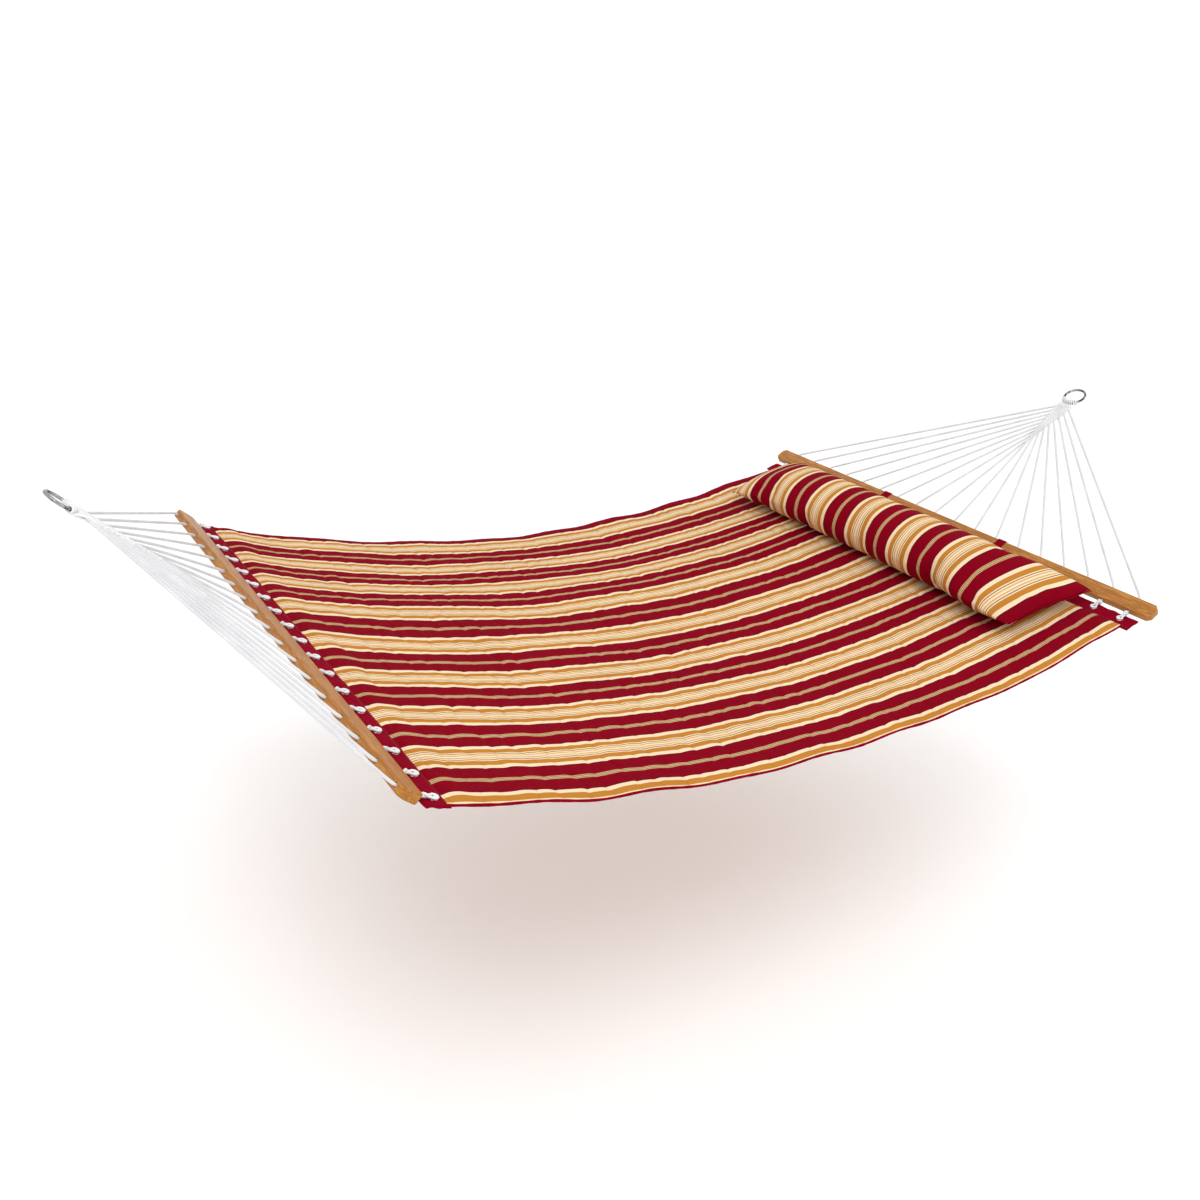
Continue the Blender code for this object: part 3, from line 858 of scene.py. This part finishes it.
# ---------------------------------------------------------------- spreader bars
def make_bar(end, seed):
    """A flat bar with cut corners and rounded edges, bored where each cord enters at its own slant."""
    half, long, corner = BAR_WIDTH / 2, end.half_bar, BAR_CORNER
    outline = [(-half, corner - long), (corner - half, -long), (half - corner, -long), (half, corner - long),
               (half, long - corner), (half - corner, long), (corner - half, long), (-half, long - corner)]
    verts = [end.at_bar(w, y, t) for t in (-BAR_THICK / 2, BAR_THICK / 2) for w, y in outline]
    faces = [tuple(range(8))[::-1], tuple(range(8, 16))]
    faces += [(i, (i + 1) % 8, 8 + (i + 1) % 8, 8 + i) for i in range(8)]
    bar = piece(end.name + "_bar", verts, faces, wood_material(end.name + "_oak", seed), "hammock")
    bm = bmesh.new()
    bm.from_mesh(bar.data)
    bmesh.ops.bevel(bm, geom=list(bm.edges), offset=0.0028, segments=3, affect="EDGES", profile=0.6)
    bm.to_mesh(bar.data)
    bm.free()
    cutters = []
    for index in range(CORDS):
        path = cord_path(end, index)
        depth = (path - end.bar) @ end.bar_in
        path = path[(depth > -BAR_WIDTH / 2 - 0.012) & (depth < BAR_WIDTH / 2 + 0.010)]
        cutters.append(tube(path, BORE_R, 14))
    cut(bar, cutters, True)
    bar.data.set_sharp_from_angle(angle=math.radians(35))
    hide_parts(end.name + "_spreader_bar")


# ---------------------------------------------------------------- hems, eyelets and bed
def wave(x, y, seed, size):
    """Smooth, repeatable unevenness of about one unit, with features of the given size."""
    rng = np.random.default_rng(seed)
    total = np.zeros(np.broadcast(x, y).shape)
    for _ in range(14):
        a = rng.uniform(0, 2 * math.pi)
        k = 2 * math.pi / size * rng.uniform(0.6, 1.6)
        total = total + np.sin(k * (x * math.cos(a) + y * math.sin(a)) + rng.uniform(0, 2 * math.pi))
    return total / 14 ** 0.5


def closed_sheet(d, y, top, bottom, uv_y=None):
    """A closed cloth solid from a grid of distances and widths, with rounded sides."""
    rows, columns = d.shape
    upper = on_bed(d, y, top).reshape(-1, 3)
    lower = on_bed(d, y, bottom).reshape(-1, 3)
    verts = np.concatenate([upper, lower])
    across = y if uv_y is None else uv_y
    uv = np.stack([d.ravel(), across.ravel()], 1)
    uv = np.concatenate([uv, uv])
    total = rows * columns
    faces = [grid_faces(rows, columns), grid_faces(rows, columns, total, flip=True)]
    index = np.arange(total).reshape(rows, columns)
    rim = np.concatenate([index[0, :-1], index[:-1, -1], index[-1, :0:-1], index[:0:-1, 0]])
    after = np.roll(rim, -1)
    faces.append(np.stack([after, rim, rim + total, after + total], 1))
    return verts, np.concatenate(faces), uv


def bed_lift(d, y):
    """The slow rise and fall of the whole quilt, more along its free side edges."""
    edge = np.clip((np.abs(y) - 0.45) / 0.23, 0, 1) ** 2
    ends = np.clip(np.minimum(d - HEM_DEPTH, BED_TOTAL - HEM_DEPTH - d) / 0.12, 0, 1)
    curl = 0.013 * np.clip((y - 0.48) / 0.20, 0, 1) ** 2 * np.clip((d - 0.5) / 1.1, 0, 1)
    return ends * (0.0016 * wave(d, y * 0.6, 11, 0.30) + edge * 0.0042 * wave(d, y * 0.2, 12, 0.34) + curl)


def quilt_valleys(d, y):
    """How deep the stitched lines pull the quilt in, from 0 to 1."""
    row = np.round(d / QUILT_STEP)
    sway = QUILT_SWAY / QUILT_STEP * np.cos(math.pi * row) * np.sin(2 * math.pi * y / QUILT_WAVE)
    line = (row + sway) * QUILT_STEP
    off = np.abs(d - line)
    uneven = np.clip(0.72 + 0.42 * wave(d * 0.4, y, 21, 0.11), 0.15, 1.35)
    return np.exp(-(off / 0.0065) ** 1.5) * uneven


def make_bed():
    """The quilt: a closed padded sheet with stitched valleys, and a piping along each side."""
    start, stop = HEM_DEPTH - 0.004, BED_TOTAL - HEM_DEPTH + 0.004
    along = np.concatenate([start + np.array([0, 0.0015, 0.004, 0.0075, 0.0115]),
                            np.arange(start + 0.0155, stop - 0.0135, 0.0046),
                            stop - np.array([0.0115, 0.0075, 0.004, 0.0015, 0])])
    inner = np.linspace(-BED_HALF_WIDTH + 0.014, BED_HALF_WIDTH - 0.014, 210)
    border = BED_HALF_WIDTH - np.array([0.0, 0.0012, 0.0035, 0.007, 0.0105])
    across = np.concatenate([-border, inner, border[::-1]])
    d, y = np.meshgrid(along, across, indexing="ij")
    from_end = np.minimum(d - start, stop - d)
    from_side = BED_HALF_WIDTH - np.abs(y)
    roll = 1 - np.exp(-(from_end / 0.0100) ** 1.3)
    pinch = 1 - np.exp(-(from_side / 0.0065) ** 1.2)
    puff = 0.0064 + 0.0032 * np.exp(-((from_end - 0.030) / 0.040) ** 2)
    puckers = 0.0004 * wave(d, y * 0.55, 31, 0.045) + 0.0006 * wave(d, y * 0.4, 32, 0.085)
    valley = quilt_valleys(d, y) * 0.0020
    lift = bed_lift(d, y)
    body = (puff - valley + puckers) * pinch
    top = lift + 0.0022 * (1 - roll) + np.maximum(body, 0.0008) * roll + 0.0012 * (1 - pinch)
    under = (0.0052 - valley * 0.9 + 0.0006 * wave(d, y * 0.6, 41, 0.05)) * pinch
    bottom = lift - 0.0022 * (1 - roll) - np.maximum(under, 0.0008) * roll - 0.0012 * (1 - pinch)
    drift = 0.0009 * wave(d, y, 51, 0.10) * np.minimum(1, from_side / 0.03)
    warped = y - 0.040 * np.exp(-((y - 0.20) / 0.22) ** 2)
    verts, faces, uv = closed_sheet(d + drift * 0.6, y + drift, top, bottom, warped)
    quilt = piece("quilted_bed", verts, faces, STRIPED_BED, "hammock", uv=uv)
    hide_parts("bed_top_fabric", "bed_batting", "bed_bottom_fabric")
    for name, side in (("near", -1), ("far", 1)):
        run = np.arange(start + 0.001, stop - 0.001, 0.006)
        rise = bed_lift(run, np.full_like(run, side * BED_HALF_WIDTH))
        edge = on_bed(run, side * (BED_HALF_WIDTH + 0.0012), rise)
        verts, faces = tube(edge, 0.0027 + 0.0003 * wave(run, 0 * run, 61, 0.05), 10)
        uv = np.stack([np.repeat(run, 10), np.tile(np.arange(10) * 0.0019, len(run))], 1)
        cordon = piece(name + "_edge_piping", verts, faces, RED_CLOTH, "hammock", uv=uv)
        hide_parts(name + "_piping")


def make_hem(end):
    """The plain band that carries the eyelets: folded cloth, pulled a little towards each cord."""
    i = np.concatenate([[0, 0.0006, 0.002], np.arange(0.004, HEM_DEPTH, 0.0024), [HEM_DEPTH + 0.002]])
    across = np.linspace(-end.half_hem, end.half_hem, 18 * 17 + 1)
    i, y = np.meshgrid(i, across, indexing="ij")
    pull = np.cos(2 * math.pi * (y - CORD_PITCH / 2) / CORD_PITCH)
    slack = np.clip(1 - i / 0.05, 0, 1)
    shift = 0.0016 * (1 - pull) * slack
    fade = 1 - np.exp(-i / 0.0012)
    near_eye = np.exp(-(((i - end.eyelet) / 0.014) ** 2 + ((1 - pull) / 0.35) ** 2))
    ripple = (0.0011 * wave(i * 1.5, y, 71 + end.inward, 0.035) + 0.0008 * (1 - pull)) * (1 - near_eye)
    ripple = ripple * np.clip((HEM_DEPTH - i) / 0.02, 0, 1)
    seam = 0.0009 * sum(np.exp(-((i - line) / 0.0014) ** 2) for line in HEM_SEAMS)
    top = ripple + (0.0024 * fade + 0.0002) - seam
    bottom = ripple - (0.0024 * fade + 0.0002)
    d = end.bed_distance(i + shift)
    verts, faces, uv = closed_sheet(d, y, top, bottom)
    hem = piece(end.name + "_red_hem", verts, faces, RED_CLOTH, "hammock", uv=uv)
    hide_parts(end.name + "_hem")
    make_eyelets(end)
    make_stitches(end)


def make_eyelets(end):
    """The metal rings pressed into a hem."""
    rings = []
    a = np.arange(28) * 2 * math.pi / 28
    section = ((0.0050, -0.0016), (0.0050, 0.0016), (0.0056, 0.0030), (0.0068, 0.0036), (0.0080, 0.0032),
               (0.0086, 0.0024), (0.0086, -0.0024), (0.0080, -0.0032), (0.0068, -0.0036), (0.0056, -0.0030))
    for index in range(CORDS):
        y0 = cord_y(index)
        rows = [[hem_local(end, y0, r * math.cos(t), r * math.sin(t), n) for r, n in section] for t in a]
        rings.append(skin(np.array(rows), closed=True))
    verts, faces = merge(rings)
    piece(end.name + "_eyelets", verts, faces, EYELET_METAL, "hammock")


def make_stitches(end):
    """Two lines of thread that sew a hem to the quilt."""
    stitches = []
    along = np.array([0, 0.0008, 0.0027, 0.0035])
    height = np.array([0.0018, 0.0026, 0.0026, 0.0018])
    for line in HEM_SEAMS:
        for y0 in np.arange(-end.half_hem + 0.004, end.half_hem - 0.006, 0.0052):
            d = end.bed_distance(np.full(4, line))
            stitches.append(tube(on_bed(d, y0 + along, height), 0.00038, 5))
    verts, faces = merge(stitches)
    thread, tree, shader = new_material(end.name + "_thread", 0.6)
    place = node(tree, "ShaderNodeTexCoord").outputs["Object"]
    link(tree, ramp(tree, noise(tree, place, 300.0), [(0.3, srgb(120, 10, 30)), (0.7, srgb(165, 30, 50))]),
         shader.inputs["Base Color"])
    piece(end.name + "_hem_stitches", verts, faces, thread, "hammock")


def punch_hem(end):
    """Cut the eyelet holes through a hem."""
    cutters = []
    for index in range(CORDS):
        y = cord_y(index)
        cutters.append(tube([hem_local(end, y, 0, 0, -0.02), hem_local(end, y, 0, 0, 0.02)], HOLE_R, 20))
    cut(bpy.data.objects[end.name + "_red_hem"], cutters, False)


# ---------------------------------------------------------------- pillow
def pillow_frame():
    """The pillow's middle, its direction towards the foot and its upward direction."""
    d = BED_TOTAL - PILLOW_DISTANCE
    low, high = on_bed(d + 0.06, 0.0, 0.0), on_bed(d - 0.06, 0.0, 0.0)
    run = unit(high - low)
    up = np.array([run[2], 0.0, -run[0]])
    middle = on_bed(d, 0.0, 0.0058 + PILLOW_HALF_HEIGHT + 0.0012)
    return middle, run, up


def inflate(obj, steps, pressure):
    """Fill a closed cloth shape by pressure and keep the result."""
    cloth = obj.modifiers.new("Cloth", "CLOTH")
    settings = cloth.settings
    settings.use_pressure = True
    settings.uniform_pressure_force = pressure
    settings.effector_weights.gravity = 0.0
    settings.tension_stiffness = 40.0
    settings.compression_stiffness = 14.0
    settings.shear_stiffness = 8.0
    settings.bending_stiffness = 0.3
    settings.quality = 8
    cloth.collision_settings.use_self_collision = False
    for step in range(1, steps + 1):
        bpy.context.scene.frame_set(step)
    keep_result(obj)
    bpy.context.scene.frame_set(1)


def centred(points):
    return points - (points.max(0) + points.min(0)) / 2


def pillow_tube(rows, half):
    """A flat tube of cloth, sewn shut at both ends: points, faces, map and the grid of point numbers."""
    columns = 2 * half
    along, turn = np.meshgrid(np.linspace(-1, 1, rows), np.arange(columns) / half, indexing="ij")
    fold = np.where(turn <= 1, turn, 2 - turn)
    side = np.where(turn <= 1, 1.0, -1.0)
    edge = np.clip(np.minimum(1 - np.abs(2 * fold - 1), (1 - np.abs(along)) * 3.5), 0, 1)
    across = (0.5 - fold) * PILLOW_WIDTH
    points = np.stack([across, along * PILLOW_CUT / 2, side * 0.016 * np.sqrt(edge)], -1)
    index = np.arange(rows * columns).reshape(rows, columns)
    used = np.ones((rows, columns), bool)
    for end in (0, rows - 1):
        used[end, half + 1:] = False
        index[end, half + 1:] = index[end, 1:half][::-1]
    index = (np.cumsum(used.ravel()) - 1)[index]
    ahead = np.roll(index, -1, axis=1)
    faces = np.stack([index[:-1], ahead[:-1], ahead[1:], index[1:]], -1).reshape(-1, 4).tolist()
    place = along * PILLOW_LENGTH / 2 + PILLOW_SHIFT
    i, j = np.meshgrid(np.arange(rows - 1), np.arange(columns), indexing="ij")
    u = np.stack([j, j + 1, j + 1, j], -1) * PILLOW_WIDTH / half
    v = np.stack([place[i, j], place[i, j], place[i + 1, j], place[i + 1, j]], -1)
    return points.reshape(-1, 3)[used.ravel()], faces, np.stack([u, v], -1).reshape(-1, 2), index


def filled_out(flat):
    """The plain shape that the flat tube takes when it is full."""
    full = flat.copy()
    swell = np.sqrt(np.clip(1 - np.abs(2 * full[:, 1] / PILLOW_CUT) ** 5, 0, 1))
    angle = math.pi * np.clip(0.5 - full[:, 0] / PILLOW_WIDTH, 0, 1)
    radius = PILLOW_WIDTH / math.pi
    full[:, 0] = full[:, 0] * (1 - swell) + radius * np.cos(angle) * swell
    full[:, 2] = np.sign(full[:, 2]) * radius * np.sin(angle) * swell
    return centred(full)


def settle(local):
    """Bring the full shape to the pillow's size, flattened beneath, with its ends low and near the bar."""
    waist = np.abs(local[:, 1]) < 0.3
    reach = np.abs(local[:, 1]).max()
    swell = np.sqrt(np.clip(1 - np.abs(local[:, 1] / reach) ** 3.2, 0, 1))
    local[:, 1] *= PILLOW_LENGTH / 2 / reach
    local[:, 0] *= 1 + (PILLOW_HALF_DEPTH / np.abs(local[waist, 0]).max() - 1) * swell
    local[:, 2] *= (PILLOW_HALF_HEIGHT + 0.006) / np.abs(local[waist, 2]).max()
    floor = -PILLOW_HALF_HEIGHT + 0.001
    give = 0.024
    low = local[:, 2] < floor + give
    local[low, 2] = floor + give * np.exp((local[low, 2] - floor - give) / give)
    local[:, 0] -= PILLOW_END_SHIFT * (1 - swell)
    local[:, 2] -= PILLOW_END_DROP * (1 - swell)
    behind = np.clip(0.5 - local[:, 0] / (2 * PILLOW_HALF_DEPTH), 0, 1)
    local[:, 1] -= PILLOW_SLANT * behind * np.clip(-2 * local[:, 1] / PILLOW_LENGTH, 0, 1) ** 3
    middle, run, up = pillow_frame()
    return (middle + np.outer(local[:, 0], run) + np.outer(local[:, 1] + PILLOW_SHIFT, ACROSS)
            + np.outer(local[:, 2], up))


def clear_bar(placed):
    """Draw the rear edge in, so that the pillow clears the bar when it is turned up a right angle."""
    arm = placed - FLIP_LINE
    height = arm[:, 2] * HEAD.bar_up[0] - arm[:, 0] * HEAD.bar_up[2]
    push = 0.004 * np.logaddexp(0, (0.007 - height) / 0.004)
    return placed + np.outer(push, [-HEAD.bar_up[2], 0.0, HEAD.bar_up[0]])


def make_pillow():
    """A tube of cloth sewn flat at both ends, filled out by a cloth simulation and laid on the bed."""
    half = 26
    flat, faces, corner_uv, index = pillow_tube(113, half)
    pillow = piece("pillow_sewn_cover", flat, faces, STRIPED_PILLOW, None,
                   corner_uv=corner_uv)
    local = filled_out(flat)
    inflate(pillow, 24, 4.5)
    blown = np.empty(len(flat) * 3)
    pillow.data.vertices.foreach_get("co", blown)
    local = centred(blown.reshape(-1, 3)) * 0.55 + local * 0.45
    placed = clear_bar(settle(local))
    pillow.data.vertices.foreach_set("co", placed.ravel())
    pillow.data.update()
    smooth = pillow.modifiers.new("Subdivision", "SUBSURF")
    smooth.levels = 1
    smooth.render_levels = 1
    pillow.data.shade_smooth()
    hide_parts("pillow_cover", "pillow_filling")
    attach(pillow, "pillow")
    for name, line, radius in (("near_end", index[0, :half + 1], 0.0018),
                               ("far_end", index[-1, :half + 1], 0.0018), ("rear", index[:, half], 0.0014)):
        seam = spline(placed[line], 0.006)
        verts, faces = tube(seam, radius, 8)
        piece("pillow_%s_seam" % name, verts, faces, RED_CLOTH, "pillow",
              corner_uv=wrap_uv(seam, 8) * (1, 0.012))


def ribbon(line, width, thickness, y):
    """A flat strap of cloth that follows a line in the XZ plane, centred at y."""
    line = np.asarray(line, float)
    run = np.gradient(line, axis=0)
    run /= np.linalg.norm(run, axis=1)[:, None]
    up = np.cross(run, ACROSS)
    at = distances(line)
    w, t = width / 2, thickness / 2
    section = ((-w, 0), (-w + t * 0.6, -t), (-w * 0.5, -t * 1.05), (0, -t * 0.9), (w * 0.5, -t * 1.05),
               (w - t * 0.6, -t), (w, 0), (w - t * 0.6, t), (w * 0.5, t * 1.05), (0, t * 0.9),
               (-w * 0.5, t * 1.05), (-w + t * 0.6, t))
    rings = np.stack([line + ACROSS * (y + a) + up * b for a, b in section], 1)
    uv = np.stack([np.repeat(at, len(section)), np.tile([a for a, _ in section], len(line))], 1)
    return skin(rings) + (uv,)


def make_straps():
    """The two red straps that hold the pillow to the head bar."""
    middle, run, up = pillow_frame()
    rear = middle - run * (PILLOW_HALF_DEPTH + 0.0010)
    toward = unit(rear - FLIP_LINE)
    w, t = BAR_WIDTH / 2 + 0.0014, BAR_THICK / 2 + 0.0014
    around = ((w, t * 0.2), (w, -t), (-w, -t), (-w, t), (w - 0.004, t), (w + 0.0004, t * 0.5),
              (w + 0.0006, -t * 0.4))
    band = rounded([HEAD.at_bar(a, 0.0, b) for a, b in around], 0.0032, 0.0016)
    bridge = rounded([HEAD.at_bar(w - 0.020, 0.0, t + 0.0012), HEAD.at_bar(w - 0.001, 0.0, t + 0.0014),
                      FLIP_LINE + toward * 0.012, rear - toward * 0.012, rear - up * 0.002 + run * 0.003],
                     0.010, 0.0022)
    for name, y in (("near", -STRAP_Y), ("far", STRAP_Y)):
        verts, faces, uv = ribbon(band, STRAP_WIDTH, STRAP_THICK, y)
        loop = piece(name + "_strap_band", verts, faces, RED_CLOTH, "hammock", uv=uv)
        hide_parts(name + "_strap_loop")
        verts, faces, uv = ribbon(bridge, STRAP_WIDTH - 0.001, STRAP_THICK, y)
        tab = piece(name + "_strap_tab", verts, faces, RED_CLOTH, None, uv=uv)
        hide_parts(name + "_strap_tongue")
        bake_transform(tab)


# ---------------------------------------------------------------- build
camera()
studio()
for seed, end in ((1.0, FOOT), (4.0, HEAD)):
    make_ring(end)
    make_turns(end)
    make_clew(end)
    for number in range(CORDS):
        make_cord(end, number)
    make_knots(end)
    make_bar(end, seed)
make_bed()
for end in (FOOT, HEAD):
    make_hem(end)
    punch_hem(end)
make_pillow()
make_straps()
